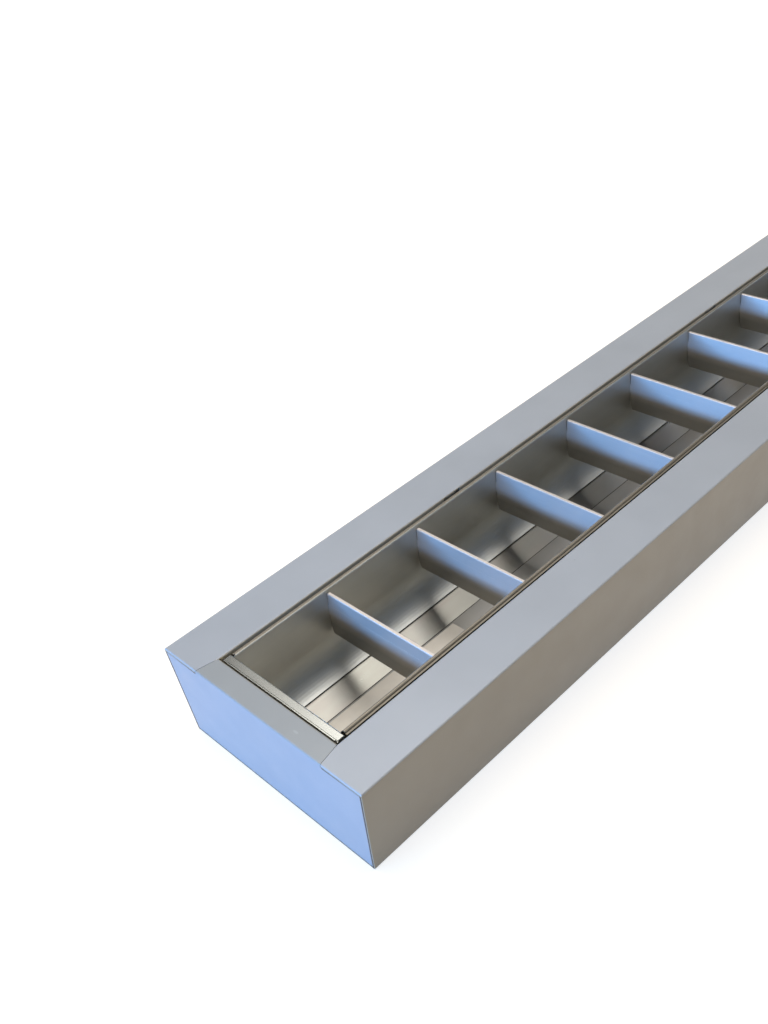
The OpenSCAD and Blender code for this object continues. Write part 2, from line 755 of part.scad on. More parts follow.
// past the ballast on the narrow lane
function past_ballast(lane) = [
    [ballast_near_x - 5 * wire_pitch, run_y(lane), wire_z],
    [ballast_near_x - 2 * wire_pitch, near_y(lane), wire_z]];

module wire_ballast() {
    x = ballast_terminal_x() + ballast_terminal_l;
    y = gear_y - ballast_terminal_w / 3;
    z = ballast_terminal_z() + ballast_terminal_h / 2;
    color([0.20, 0.22, 0.26]) wire(concat(holder_route(-1, 1, 0), past_ballast(0),
        [[x, near_y(0), wire_z], [x, near_y(0), z], [x, y, z], [x - ballast_terminal_l * 3 / 4, y, z]]));
}

module wire_starter_near() {
    back = starter_x - starter_block_t;
    x = back - wire_pitch;
    y = gear_y - wire_side;
    color([0.92, 0.92, 0.90]) wire(concat(holder_route(-1, -1, 1), past_ballast(1),
        [[x, near_y(1), wire_z], [x, near_y(1), starter_axis_z],
         [x, y, starter_axis_z], [back, y, starter_axis_z]]));
}

module wire_starter_far() {
    back = starter_x - starter_block_t;
    x = back - 2 * wire_pitch;
    y = gear_y + wire_side;
    color([0.92, 0.92, 0.90]) wire(concat(holder_route(1, -1, 1),
        [[x, run_y(1), wire_z], [x, run_y(1), starter_axis_z],
         [x, y, starter_axis_z], [back, y, starter_axis_z]]));
}

module wire_neutral() {
    x = terminal_x + pole_pitch;
    color([0.15, 0.35, 0.70]) wire(concat(holder_route(1, 1, 0),
        [[x, run_y(0), wire_z], [x, run_y(0), pole_z], [x, gear_y - terminal_w / 3, pole_z]]));
}

module wire_live() {
    x = terminal_x - pole_pitch;
    y = gear_y + ballast_terminal_w / 3;
    z = ballast_terminal_z() + ballast_terminal_h / 2;
    color([0.45, 0.30, 0.20]) wire([[x, gear_y + terminal_w / 3, pole_z],
        [x, gear_y + terminal_w * 3 / 4, pole_z], [ballast_terminal_x() + ballast_terminal_l, y, z],
        [ballast_terminal_x() + ballast_terminal_l / 4, y, z]]);
}

module wire_earth() {
    y = gear_y - terminal_w;
    color([0.45, 0.60, 0.20]) wire([[terminal_x, gear_y - terminal_w / 3, pole_z],
        [terminal_x, y, pole_z], [terminal_x - wire_pitch, y, steel_t + wire_r],
        [earth_x + earth_washer_d / 2, y, steel_t + wire_r]]);
}

// ears under the flange, a web behind them and a plate against the flange
module hinge_brackets() {
    web_y = hinge_y + knuckle_r + web_gap;
    under = fitting_h - steel_t;
    low = hinge_z - knuckle_r;
    color(zinc) for (x = hinge_places) difference() {
        union() {
            for (s = [-1, 1]) translate([s * (pin_l - ear_t) / 2 - ear_t / 2, 0, 0])
                along_x(x, ear_t) {
                    translate([hinge_y, low]) square([web_y - hinge_y, under - low]);
                    translate([hinge_y, hinge_z]) circle(r = knuckle_r);
                }
            along_x(x - pin_l / 2, pin_l) translate([web_y, low]) square([web_t, under - low]);
            along_x(x - pin_l / 2, pin_l) translate([web_y, under - web_t]) square([plate_w, web_t]);
        }
        along_x(x - pin_l / 2 - cut, pin_l + 2 * cut) translate([hinge_y, hinge_z]) circle(d = pin_d + seat);
    }
}

module hinge_pins() {
    color(bright) for (x = hinge_places) along_x(x - pin_l / 2, pin_l)
        translate([hinge_y, hinge_z]) circle(d = pin_d);
}

// gooseneck: a knuckle on the pin, an arm that dips clear of the flange, a pad on the wall
module hinge_arms() {
    dip = hinge_z - arm_drop;
    top = hinge_z - arm_drop + arm_t;
    pad_low = top - pad_h;
    out = alu_t + seat;
    color(zinc) for (x = hinge_places) along_x(x - knuckle_l / 2, knuckle_l) difference() {
        union() {
            translate([hinge_y, hinge_z]) circle(r = knuckle_r);
            polygon([[hinge_y + arm_t / 2, hinge_z - pin_d / 2 - pin_play],
                     [hinge_y + arm_t / 2, hinge_z - knuckle_r - arm_t / 2],
                     [hinge_y - arm_out + arm_t, dip], [wall_y(dip) + out + arm_t, dip],
                     [wall_y(pad_low) + out + arm_t, pad_low], [wall_y(pad_low) + out, pad_low],
                     [wall_y(top) + out, top], [hinge_y - arm_out, top],
                     [hinge_y - knuckle_r * arm_leave_share, hinge_z - knuckle_r * arm_leave_share]]);
        }
        translate([hinge_y, hinge_z]) circle(r = pin_d / 2 + pin_play);
    }
}

// plates under the flange that carry the two catch springs
module catch_plates() {
    color(zinc) for (x = catch_places) along_x(x - catch_l / 2, catch_l)
        translate([catch_axis_y - leaf_t - leaf_gap - plate_w, fitting_h - steel_t - web_t])
            square([plate_w, web_t]);
}

// hanging spring leaf whose round nose bears on the louvre's strike
module catch_leaf(x) {
    nose_y = strike_y - nose_gap - nose_r;
    top = fitting_h - steel_t - leaf_gap;
    color(bright) along_x(x - catch_l / 2, catch_l) {
        polygon([[catch_axis_y - leaf_t / 2, top - leaf_h], [catch_axis_y + leaf_t / 2, top - leaf_h],
                 [catch_axis_y + leaf_t / 2, top], [catch_axis_y - leaf_t / 2, top]]);
        translate([nose_y, fitting_h - nose_drop]) circle(r = nose_r);
        translate([catch_axis_y, fitting_h - nose_drop - leaf_t / 2]) square([nose_y - catch_axis_y, leaf_t]);
    }
}

// blocks on the outside of the louvre wall at -Y
module catch_strikes() {
    out = alu_t + seat;
    top = fitting_h - nose_drop + strike_h / 2;
    low = fitting_h - nose_drop - strike_h / 2;
    color(bright) for (x = catch_places) along_x(x - strike_l / 2, strike_l)
        polygon([[-wall_y(low) - out, low], [-wall_y(top) - out, top],
                 [-wall_y(top) - out - arm_t, top], [strike_y + nose_gap, fitting_h - nose_drop + arm_t],
                 [strike_y + nose_gap, fitting_h - nose_drop - arm_t], [-wall_y(low) - out - arm_t, low]]);
}

// ledge, rolled bead, leaning wall and arc of a side reflector in one sheet
module reflector_outline() {
    ledge_y = hem_y + rail_w;
    outside = concat([[ledge_y, ledge_z], [bead_y + bead_r, ledge_z]],
        [for (i = [0 : bead_steps]) bead_point(i, bead_r)], [for (i = [0 : arc_steps]) arc_point(i, arc_r)]);
    inside = concat([for (i = [arc_steps : -1 : 0]) arc_point(i, arc_r + alu_t)],
        [for (i = [bead_steps : -1 : 0]) bead_point(i, bead_r - alu_t)],
        [[bead_y + bead_r - alu_t, ledge_z - alu_t], [ledge_y, ledge_z - alu_t]]);
    polygon(concat(outside, inside));
}

blade_slope = atan((blade_foot_w - blade_top_w) / 2 / blade_h);

// both wings of blade i, as leaning slabs between two heights below its folded edge
module wing_pair(x, high, low, t, w) {
    for (s = [-1, 1]) {
        a = blade_top_w / 2 + high * tan(blade_slope);
        b = blade_top_w / 2 + low * tan(blade_slope);
        translate([x, 0, blade_z]) across_y(w)
            polygon([[s * a, -high], [s * b, -low], [s * (b - t), -low], [s * (a - t), -high]]);
    }
}

module side_reflector(s) {
    l = bar_inner_x;
    play = tab_play / 2;
    color(satin) difference() {
        scale([1, s, 1]) along_x(-l, 2 * l) reflector_outline();
        for (e = [-1, 1]) translate([e * l - rail_notch, 0, 0]) scale([1, s, 1])
            translate([0, hem_y + alu_t, ledge_z - 2 * alu_t])
                cube([2 * rail_notch, rail_w + cut, crest_z - ledge_z + 4 * alu_t]);
        intersection() {
            for (i = [1 : blade_count])
                wing_pair(blade_x(i), tab_drop - play, tab_drop + tab_h + play, alu_t + play,
                          2 * (hem_y + tab_l));
            translate([-l, s > 0 ? 0 : -hem_y - 2 * tab_l, 0]) cube([2 * l, hem_y + 2 * tab_l, fitting_h]);
        }
    }
}

// channel that closes one end of the louvre: inner skirt, top, groove, hem and outer skirt
module end_bar_outline() {
    out = bar_inner_x + alu_t;
    dip_x = bar_x - bar_hem_w - bar_groove_w;
    dip_z = rail_z - bar_groove_depth;
    polygon(concat(
        [[bar_inner_x, foot_z]],
        fold([bar_inner_x, foot_z], [bar_inner_x, rail_z], [dip_x, rail_z], 2 * alu_t),
        [[dip_x, rail_z], [dip_x, dip_z], [bar_x - bar_hem_w, dip_z], [bar_x - bar_hem_w, crest_z],
         [bar_x, crest_z], [bar_x, rail_z - skirt_drop], [bar_x - alu_t, rail_z - skirt_drop],
         [bar_x - alu_t, dip_z - alu_t], [dip_x - alu_t, dip_z - alu_t], [dip_x - alu_t, rail_z - alu_t]],
        fold([dip_x, rail_z - alu_t], [out, rail_z - alu_t], [out, foot_z], alu_t), [[out, foot_z]]));
}

module end_bar(is_far) {
    skirt_z = rail_z - skirt_drop;
    w = hem_y + rail_w;
    function inner_w(z) = wall_y(z) - alu_t;
    half = [[inner_w(foot_z), foot_z], [inner_w(skirt_z), skirt_z], [w, skirt_z - cut],
            [w, crest_z - bar_bevel], [w - bar_bevel, crest_z], [w - bar_bevel, crest_z + cut]];
    color(bright) far_end(is_far) intersection() {
        across_y(2 * w + cut) end_bar_outline();
        along_x(bar_inner_x - cut, end_bar_w + 2 * cut)
            polygon(concat(half, [for (i = [len(half) - 1 : -1 : 0]) [-half[i][0], half[i][1]]]));
    }
}

// one folded blade, open towards the tube, with four tabs through the walls
module cross_blade(i) {
    color(bright) {
        intersection() {
            translate([blade_x(i), 0, blade_z]) across_y(2 * hem_y) blade_outline();
            along_x(-end_x, fitting_l) blade_front();
        }
        wing_pair(blade_x(i), tab_drop, tab_drop + tab_h, alu_t, 2 * (wall_y(blade_z) + tab_l));
    }
}

// a blade seen along the fitting: its ends follow the walls and are clipped at the foot
module blade_front() {
    clip_z = foot_z + foot_notch_h;
    half = [[wall_y(foot_z) - blade_side_gap - foot_notch_w, foot_z],
            [wall_y(clip_z) - blade_side_gap, clip_z], [wall_y(blade_z) - blade_side_gap, blade_z]];
    polygon(concat(half, [for (i = [len(half) - 1 : -1 : 0]) [-half[i][0], half[i][1]]]));
}

module blade_outline() {
    a = blade_top_w / 2;
    b = blade_foot_w / 2;
    nick = alu_t;
    polygon([[-a, -nick], [-a + nick, 0], [a - nick, 0], [a, -nick], [b, -blade_h],
             [b - alu_t, -blade_h], [a - alu_t, -nick - alu_t], [alu_t - a, -nick - alu_t],
             [alu_t - b, -blade_h], [-b, -blade_h]]);
}

housing_tray();
end_cap(false);  // end_cap_near
end_cap(true);  // end_cap_far
end_cap_rivets();
centre_reflector();
centre_strip();
rating_label();
reflector_screws();
holder_bracket(false);  // holder_bracket_near
holder_bracket(true);  // holder_bracket_far
lampholder(false);  // lampholder_near
lampholder(true);  // lampholder_far
rotor(false);  // rotor_near
rotor(true);  // rotor_far
ballast();
ballast_terminal();
ballast_screws();
starter_holder();
starter();
terminal_block();
terminal_screws();
cable_grommet();
earth_screw();
wire_ballast();
wire_starter_near();
wire_starter_far();
wire_neutral();
wire_live();
wire_earth();
hinge_brackets();
hinge_pins();
hinge_arms();
catch_plates();
catch_leaf(catch_places[0]);  // catch_near
catch_leaf(catch_places[1]);  // catch_far
catch_strikes();
side_reflector(1);  // side_reflector_left
side_reflector(-1);  // side_reflector_right
end_bar(false);  // end_bar_near
end_bar(true);  // end_bar_far
for (i = [1 : blade_count])
    cross_blade(i);
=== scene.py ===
import bpy
from mathutils import Matrix, Vector


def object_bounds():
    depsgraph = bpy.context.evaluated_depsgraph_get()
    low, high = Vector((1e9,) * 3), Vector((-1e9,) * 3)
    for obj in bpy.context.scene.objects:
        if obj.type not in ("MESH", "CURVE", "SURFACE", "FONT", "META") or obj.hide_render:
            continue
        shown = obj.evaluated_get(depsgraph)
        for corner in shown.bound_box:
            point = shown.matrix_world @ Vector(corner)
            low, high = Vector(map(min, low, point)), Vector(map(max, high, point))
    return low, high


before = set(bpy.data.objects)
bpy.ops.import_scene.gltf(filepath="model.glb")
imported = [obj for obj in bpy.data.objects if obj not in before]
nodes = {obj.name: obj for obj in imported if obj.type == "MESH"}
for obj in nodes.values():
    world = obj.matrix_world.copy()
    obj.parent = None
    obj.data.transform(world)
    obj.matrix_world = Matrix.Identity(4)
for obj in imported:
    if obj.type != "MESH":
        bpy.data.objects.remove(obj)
cadBox = [list(corner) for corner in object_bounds()]
print("frame loaded:", len(nodes), "CAD nodes")

mm = 0.001

# the stretch of a noise that a ramp spreads from 0 to 1
soft = (0.3, 0.7)
firm = (0.35, 0.65)


# Shader maths: a Value wraps a socket, so that sums and products of masks read as they are
class Value:
    def __init__(self, finish, socket):
        self.finish = finish
        self.socket = socket

    def maths(self, operation, *others):
        return self.finish.add("ShaderNodeMath", {"operation": operation}, [self, *others])

    def __add__(self, other):
        return self.maths("ADD", other)

    def __sub__(self, other):
        return self.maths("SUBTRACT", other)

    def __rsub__(self, other):
        return self.finish.add("ShaderNodeMath", {"operation": "SUBTRACT"}, [other, self])

    def __mul__(self, other):
        return self.maths("MULTIPLY", other)

    __radd__ = __add__
    __rmul__ = __mul__

    def above(self, limit):
        return self.maths("GREATER_THAN", limit)

    def below(self, limit):
        return self.maths("LESS_THAN", limit)

    def size(self):
        return self.maths("ABSOLUTE")

    def clipped(self):
        settings = {"operation": "ADD", "use_clamp": True}
        return self.finish.add("ShaderNodeMath", settings, [self, 0.0])

    # another outlet of the same node
    def outlet(self, name):
        return Value(self.finish, self.socket.node.outputs[name])


# One material, or the world, with its node tree
class Finish:
    def __init__(self, name, shader="ShaderNodeBsdfPrincipled", world=None):
        self.material = world or bpy.data.materials.new(name)
        self.material.use_nodes = True
        self.tree = self.material.node_tree
        self.tree.nodes.clear()
        output = self.tree.nodes.new("ShaderNodeOutputWorld" if world else "ShaderNodeOutputMaterial")
        self.shader = self.tree.nodes.new(shader)
        self.tree.links.new(self.shader.outputs[0], output.inputs[0])

    # every other node comes from here: its type, its settings, its inputs, and the outlet used
    def add(self, kind, settings=None, inputs=None, output=0):
        node = self.tree.nodes.new(kind)
        for key, value in (settings or {}).items():
            setattr(node, key, value)
        pairs = inputs.items() if isinstance(inputs, dict) else enumerate(inputs or [])
        for key, value in pairs:
            self.feed(node.inputs[key], value)
        return Value(self, node.outputs[output])

    def feed(self, socket, value):
        if isinstance(value, Value):
            self.tree.links.new(value.socket, socket)
        elif isinstance(value, tuple) and len(value) == 3 and socket.type == "RGBA":
            socket.default_value = (*value, 1)
        else:
            socket.default_value = value

    def set(self, **values):
        for key, value in values.items():
            self.feed(self.shader.inputs[key.replace("_", " ")], value)
        return self

    def place(self):
        return self.add("ShaderNodeTexCoord", output="Object")

    def stretched(self, scale):
        return self.add("ShaderNodeVectorMath", {"operation": "MULTIPLY"}, [self.place(), scale])

    def part(self, axis):
        return self.add("ShaderNodeSeparateXYZ", inputs=[self.place()], output=axis)

    # noise whose features are about size mm across, or size along each axis
    def noise(self, size, detail=3.0, rough=0.5, seed=0.0):
        sizes = size if isinstance(size, tuple) else (size, size, size)
        return self.add("ShaderNodeTexNoise", {"noise_dimensions": "4D"}, {
            "Vector": self.stretched(tuple(1 / (s * mm) for s in sizes)), "W": seed,
            "Scale": 1.0, "Detail": detail, "Roughness": rough})

    def patches(self, size, rough=0.5):
        return self.ramp(self.noise(size, detail=4.0, rough=rough), *firm)

    def ramp(self, value, low, high, lowShade=0.0, highShade=1.0):
        return self.add("ShaderNodeMapRange", {"clamp": True}, {
            "Value": value, "From Min": low, "From Max": high,
            "To Min": lowShade, "To Max": highShade})

    def mix(self, factor, first, second):
        inputs = {0: factor, 6: first, 7: second}
        return self.add("ShaderNodeMix", {"data_type": "RGBA"}, inputs, output=2)

    # where the mask is 1, the mark's colour covers its share of the colour below
    def marked(self, colour, mask, mark):
        return self.mix(mask * mark["share"], colour, mark["colour"])

    # scattered spots: at most one in each cell, in the share of the cells that chance gives
    def spots(self, mark):
        where = self.stretched(tuple(part / (mark["cell"] * mm) for part in mark["stretch"]))
        near = self.add("ShaderNodeTexVoronoi", {"feature": "F1"}, {"Vector": where, "Scale": 1.0})
        chance = self.add("ShaderNodeSeparateXYZ", inputs=[near.outlet("Color")])
        edge = mark["radius"] / mark["cell"]
        return self.ramp(near, edge, mark["core"] * edge) * chance.below(mark["chance"])

    def bumped(self, height, depth):
        return self.add("ShaderNodeBump", inputs={
            "Height": height, "Distance": depth * mm, "Strength": 1.0})


# Camera, fitted to the photograph: place, and the directions of the picture's right, down and in
view = {
    "position": (-0.859405, -0.438182, 0.574392),
    "right": (0.703701, -0.699377, -0.125203),
    "down": (-0.489463, -0.349462, -0.798938),
    "inward": (0.515005, 0.623496, -0.588236),
    "focalPixels": 1070.51,
    "pictureHeight": 1024,
    "sensor": 36.0,
    "nearest": 0.01,
}


def makeCamera():
    data = bpy.data.cameras.new("camera")
    data.sensor_width = view["sensor"]
    data.lens = view["focalPixels"] / view["pictureHeight"] * view["sensor"]
    data.clip_start = view["nearest"]
    camera = bpy.data.objects.new("camera", data)
    right = Vector(view["right"]).normalized()
    up = -Vector(view["down"]).normalized()
    back = -Vector(view["inward"]).normalized()
    turn = Matrix((right, up, back)).transposed().to_4x4()
    camera.matrix_world = Matrix.Translation(view["position"]) @ turn
    bpy.context.scene.collection.objects.link(camera)
    bpy.context.scene.camera = camera


# Studio: pale floor, one broad soft light above, and a low cool light that faces the near end
studio = {
    "floorColour": (0.56, 0.44, 0.29),
    "floorGlow": (0.72, 1.09),  # near the object, and far from it
    "glowColour": (0.92, 0.98, 1.06),
    "glowReach": (1.3, 3.6),
    "floorSize": 60.0,
    "floorDrop": 0.3 * mm,
    "ceilingHeight": 2.95,
    "ceilingSize": 15.0,
    "ceilingColour": (0.34, 0.33, 0.31),
    "worldLight": 0.19,
    "worldColour": (1.0, 0.93, 0.80),
    "white": (1.0, 1.0, 1.0),
    "lights": {
        "overhead": {
            "at": (-0.3, 0.45, 2.7), "aim": (-0.3, 0.45, 0.0), "size": (3.0, 3.3),
            "power": 90.0, "colour": (1.0, 0.985, 0.955)},
        "endWindow": {
            "at": (-3.35, 0.45, 0.66), "aim": (-0.5, 0.0, 0.05), "size": (2.6, 0.3),
            "power": 156.0, "colour": (0.12, 0.41, 1.0)},
    },
}


def makeLight(name, spec):
    data = bpy.data.lights.new(name, "AREA")
    data.shape = "RECTANGLE"
    data.size, data.size_y = spec["size"]
    data.energy = spec["power"]
    data.color = spec["colour"]
    lamp = bpy.data.objects.new(name, data)
    lamp.location = spec["at"]
    aim = Vector(spec["aim"]) - Vector(spec["at"])
    lamp.rotation_euler = aim.to_track_quat("-Z", "Y").to_euler()
    bpy.context.scene.collection.objects.link(lamp)


def makeSheet(name, size, height):
    half = size / 2
    corners = [(-half, -half, 0), (half, -half, 0), (half, half, 0), (-half, half, 0)]
    mesh = bpy.data.meshes.new(name)
    mesh.from_pydata(corners, [], [(0, 1, 2, 3)])
    sheet = bpy.data.objects.new(name, mesh)
    sheet.location.z = height
    bpy.context.scene.collection.objects.link(sheet)
    return sheet


# grey ceiling round the light: polished sheet shows it, and it never hides the object
def makeCeiling():
    ceiling = makeSheet("ceiling", studio["ceilingSize"], studio["ceilingHeight"])
    ceiling.visible_camera = False
    finish = Finish("ceilingFinish", "ShaderNodeBsdfDiffuse").set(Color=studio["ceilingColour"])
    ceiling.data.materials.append(finish.material)


# 1 for the rays that show the white background: to the camera, off metal and through glass
def showsBackground(finish):
    path = finish.add("ShaderNodeLightPath", output="Is Camera Ray")
    return (path + path.outlet("Is Glossy Ray") + path.outlet("Is Transmission Ray")).clipped()


def makeFloor():
    floor = makeSheet("floor", studio["floorSize"], cadBox[0][2] - studio["floorDrop"])
    finish = Finish("floorFinish", "ShaderNodeAddShader")
    matt = finish.add("ShaderNodeBsdfDiffuse", inputs={"Color": studio["floorColour"]})
    away = finish.add("ShaderNodeVectorMath", {"operation": "LENGTH"}, [finish.place()], "Value")
    strength = finish.ramp(away, *studio["glowReach"], *studio["floorGlow"])
    glow = finish.add("ShaderNodeEmission", inputs={
        "Color": studio["glowColour"], "Strength": showsBackground(finish) * strength})
    finish.feed(finish.shader.inputs[0], matt)
    finish.feed(finish.shader.inputs[1], glow)
    floor.data.materials.append(finish.material)


def makeWorld():
    world = bpy.data.worlds.new("world")
    bpy.context.scene.world = world
    finish = Finish("world", "ShaderNodeBackground", world)
    dim = tuple(studio["worldLight"] * part for part in studio["worldColour"])
    finish.set(Color=finish.mix(showsBackground(finish), dim, studio["white"]))


# Silver-grey powder coat on the housing: fine orange peel, faint cloudiness, small nicks and dust
paint = {
    "trayFace": (0.425, 0.422, 0.408),
    # painted shade: the tray's walls below the face are written darker and browner than the face,
    # standing in for shade and warm reflected light
    "traySideShadedWarm": (0.345, 0.300, 0.225),
    "capFace": (0.345, 0.340, 0.312),
    # painted light: the end plates are written bluer, standing in for the cool light that faces the
    # near end
    "capPlateCoolLit": (0.315, 0.352, 0.395),
    "faceFrom": 79.0,
    "cloud": {"size": 60, "share": 0.07, "colour": (0.05, 0.05, 0.05)},
    "nick": {"size": 14, "edge": (0.735, 0.76), "depth": 3.0,
             "share": 0.55, "colour": (0.20, 0.20, 0.20)},
    "speck": {"cell": 34, "radius": 0.7, "core": 0.6, "chance": 0.35, "stretch": (1, 1, 1),
              "share": 0.7, "colour": (0.13, 0.12, 0.11)},
    "scuff": {"cell": 26, "radius": 1.1, "core": 0.6, "chance": 0.30, "stretch": (1.0, 0.4, 1.0),
              "share": 0.3, "colour": (0.50, 0.50, 0.49)},
    "peel": {"size": 1.6, "gritSize": 0.7, "gritShare": 0.25, "depth": 0.015},
    "roughness": (0.36, 0.47),
    "roughSize": 25,
    "metallic": 0.04,
    "coat": 0.35,
    "coatRoughness": 0.18,
}

# Painted shade in the gap between the end plate and the long sides, and in the slit under the end
# flange: dark bands where shadow falls
seamShade = {
    "colour": (0.035, 0.04, 0.055),
    "plateHalfWidth": (92.3, 98.7),  # at the back and at the face
    "reach": (-0.85, 0.6),
    "gapTop": 77.9,
    "endZone": 625.0,
    "slitHeight": (76.7, 77.85),
    "slitWidth": (64.3, 92.0),
    "slitShade": (1.0, 0.1),
}

# The folded rim of the opening: painted light, lighter and browner inside a half width and between
# two heights, standing in for warm light reflected into the shaded rim
rimBounceLight = {"inside": 61.0, "height": (74.0, 79.6), "colour": (0.62, 0.54, 0.40)}


def paintedSeamShade(finish):
    along, across, height = (finish.part(axis) for axis in range(3))
    atEnd = along.size().above(seamShade["endZone"] * mm)
    foot, top = seamShade["plateHalfWidth"]
    depth = (cadBox[1][2] - cadBox[0][2]) / mm
    side = across.size() - height * ((top - foot) / depth) - foot * mm
    inner, outer = (part * mm for part in seamShade["reach"])
    gap = side.above(inner) * side.below(outer) * height.below(seamShade["gapTop"] * mm)
    low, high = (part * mm for part in seamShade["slitHeight"])
    start, stop = (part * mm for part in seamShade["slitWidth"])
    fade = finish.ramp(across.size(), start, stop, *seamShade["slitShade"])
    slit = height.above(low) * height.below(high) * across.size().above(start) * fade
    return ((gap + slit) * atEnd).clipped()


def paintedRimLight(finish):
    along, across, height = (finish.part(axis) for axis in range(3))
    low, high = (part * mm for part in rimBounceLight["height"])
    near = along.size().below(seamShade["endZone"] * mm) * across.size().below(rimBounceLight["inside"] * mm)
    return near * height.above(low) * height.below(high)


def paintFinish(name, face, bodyWithPaintedLight):
    finish = Finish(name)
    peel = finish.noise(paint["peel"]["size"], detail=2.0)
    grit = finish.noise(paint["peel"]["gritSize"], detail=1.0, seed=3.0)
    nick = finish.ramp(finish.noise(paint["nick"]["size"], detail=5.0, rough=0.62, seed=7.0),
                       *paint["nick"]["edge"])
    # painted light: below the face height the body colour stands in for light, darker and browner on
    # the tray's walls, bluer on the end plates
    colour = finish.mix(finish.part(2).above(paint["faceFrom"] * mm), paint[bodyWithPaintedLight], paint[face])
    colour = finish.marked(colour, finish.patches(paint["cloud"]["size"]), paint["cloud"])
    colour = finish.marked(colour, nick, paint["nick"])
    # painted light: the shaded rim of the opening is written lighter and browner
    colour = finish.mix(paintedRimLight(finish), colour, rimBounceLight["colour"])
    colour = finish.marked(colour, finish.spots(paint["scuff"]), paint["scuff"])
    colour = finish.marked(colour, finish.spots(paint["speck"]), paint["speck"])
    # painted shade: the seams and the slit under the end flange are darkened
    colour = finish.mix(paintedSeamShade(finish), colour, seamShade["colour"])
    rough = finish.ramp(finish.noise(paint["roughSize"], detail=5.0, rough=0.6, seed=2.0),
                        *soft, *paint["roughness"])
    height = peel + grit * paint["peel"]["gritShare"] - nick * paint["nick"]["depth"]
    return finish.set(Base_Color=colour, Roughness=rough, Metallic=paint["metallic"],
                      Coat_Weight=paint["coat"], Coat_Roughness=paint["coatRoughness"],
                      Normal=finish.bumped(height, paint["peel"]["depth"])).material


# Rolled aluminium: fine lines along one axis, soft smears and a few handling marks. A sheet's painted
# shade zone lies outside a half width and above a height, or it darkens down towards a foot
sheets = {
    # painted shade: beyond the crest of the rail's bead the sheet is written darker and browner, so
    # that the bead shows only a thin bright line
    "satinSheet": {
        "colour": (0.51, 0.505, 0.465), "dullColour": (0.455, 0.45, 0.415),
        "roughness": (0.40, 0.48), "lines": (60, 0.5, 0.5), "smears": (80, 18, 18),
        "lineDepth": 0.012, "lineShade": 0.4,
        "shadeZone": {"outside": 54.3, "above": 76.5, "colour": (0.30, 0.265, 0.21), "rougher": 0.10}},
    "centreSheet": {
        "colour": (0.30, 0.305, 0.262), "dullColour": (0.295, 0.27, 0.24),
        "roughness": (0.26, 0.33), "lines": (60, 0.5, 0.5), "smears": (60, 14, 14),
        "lineDepth": 0.010, "lineShade": 0.4},
    # painted shade: a dark line along the strip's cut edge, where a shadow falls on the sheet under
    # it
    "stripSheet": {
        "colour": (0.44, 0.42, 0.38), "dullColour": (0.39, 0.37, 0.34),
        "roughness": (0.30, 0.38), "lines": (60, 0.5, 0.5), "smears": (70, 12, 12),
        "lineDepth": 0.010, "lineShade": 0.4,
        "shadeZone": {"outside": 16.0, "above": 0.0, "colour": (0.06, 0.055, 0.05), "rougher": 0.2}},
    # painted shade: the blades are written darker from the top height down to the foot, standing in
    # for the dark reflections on their lower parts
    "bladeSheet": {
        "colour": (0.78, 0.70, 0.63), "dullColour": (0.70, 0.63, 0.565),
        "roughness": (0.48, 0.56), "lines": (0.5, 50, 0.5), "smears": (20, 60, 20),
        "lineDepth": 0.010, "lineShade": 0.3,
        "shadeZone": {"top": 61.0, "foot": 51.0, "share": 0.75, "colour": (0.27, 0.27, 0.245),
                 "rougher": 0.0}},
    "barSheet": {
        "colour": (0.57, 0.57, 0.53), "dullColour": (0.49, 0.49, 0.45),
        "roughness": (0.20, 0.27), "lines": (0.5, 60, 0.5), "smears": (15, 50, 15),
        "lineDepth": 0.004, "lineShade": 0.25},
}
handling = {"size": 22, "edge": (0.62, 0.78), "rougher": 0.06}


def shadeZoneMask(finish, shadeZone):
    across, height = finish.part(1), finish.part(2)
    if "foot" in shadeZone:
        return finish.ramp(height, shadeZone["top"] * mm, shadeZone["foot"] * mm, 0.0, shadeZone["share"])
    return across.size().above(shadeZone["outside"] * mm) * height.above(shadeZone["above"] * mm)


def sheetFinish(name, spec):
    finish = Finish(name)
    lines = finish.noise(spec["lines"], detail=3.0, rough=0.65)
    smear = finish.noise(spec["smears"], detail=4.0, rough=0.6, seed=4.0)
    marks = finish.ramp(finish.noise(handling["size"], detail=6.0, rough=0.7, seed=9.0),
                        *handling["edge"])
    colour = finish.mix(finish.ramp(smear, *soft), spec["colour"], spec["dullColour"])
    lined = finish.ramp(lines, *firm) * spec["lineShade"]
    colour = finish.mix(lined, colour, spec["dullColour"])
    rough = finish.ramp(smear, *soft, *spec["roughness"]) + marks * handling["rougher"]
    if "shadeZone" in spec:
        # painted shade: the zone's colour darkens the sheet where shade and dark reflections fall
        shadedShare = shadeZoneMask(finish, spec["shadeZone"])
        colour = finish.mix(shadedShare, colour, spec["shadeZone"]["colour"])
        rough = rough + shadedShare * spec["shadeZone"]["rougher"]
    return finish.set(Base_Color=colour, Metallic=1.0, Roughness=rough,
                      Normal=finish.bumped(lines, spec["lineDepth"])).material


# Zinc plating: bright grey with faint clouded crystals
zinc = {"colour": (0.58, 0.59, 0.60), "cloudColour": (0.50, 0.50, 0.48), "cloudSize": 6,
        "roughness": (0.28, 0.42), "roughSize": 3, "grain": 0.8, "depth": 0.01}


def zincFinish(name):
    finish = Finish(name)
    cloud = finish.patches(zinc["cloudSize"], rough=0.6)
    rough = finish.ramp(finish.noise(zinc["roughSize"], seed=2.0), *soft, *zinc["roughness"])
    grain = finish.noise(zinc["grain"], detail=2.0)
    return finish.set(Base_Color=finish.mix(cloud, zinc["colour"], zinc["cloudColour"]),
                      Metallic=1.0, Roughness=rough,
                      Normal=finish.bumped(grain, zinc["depth"])).material


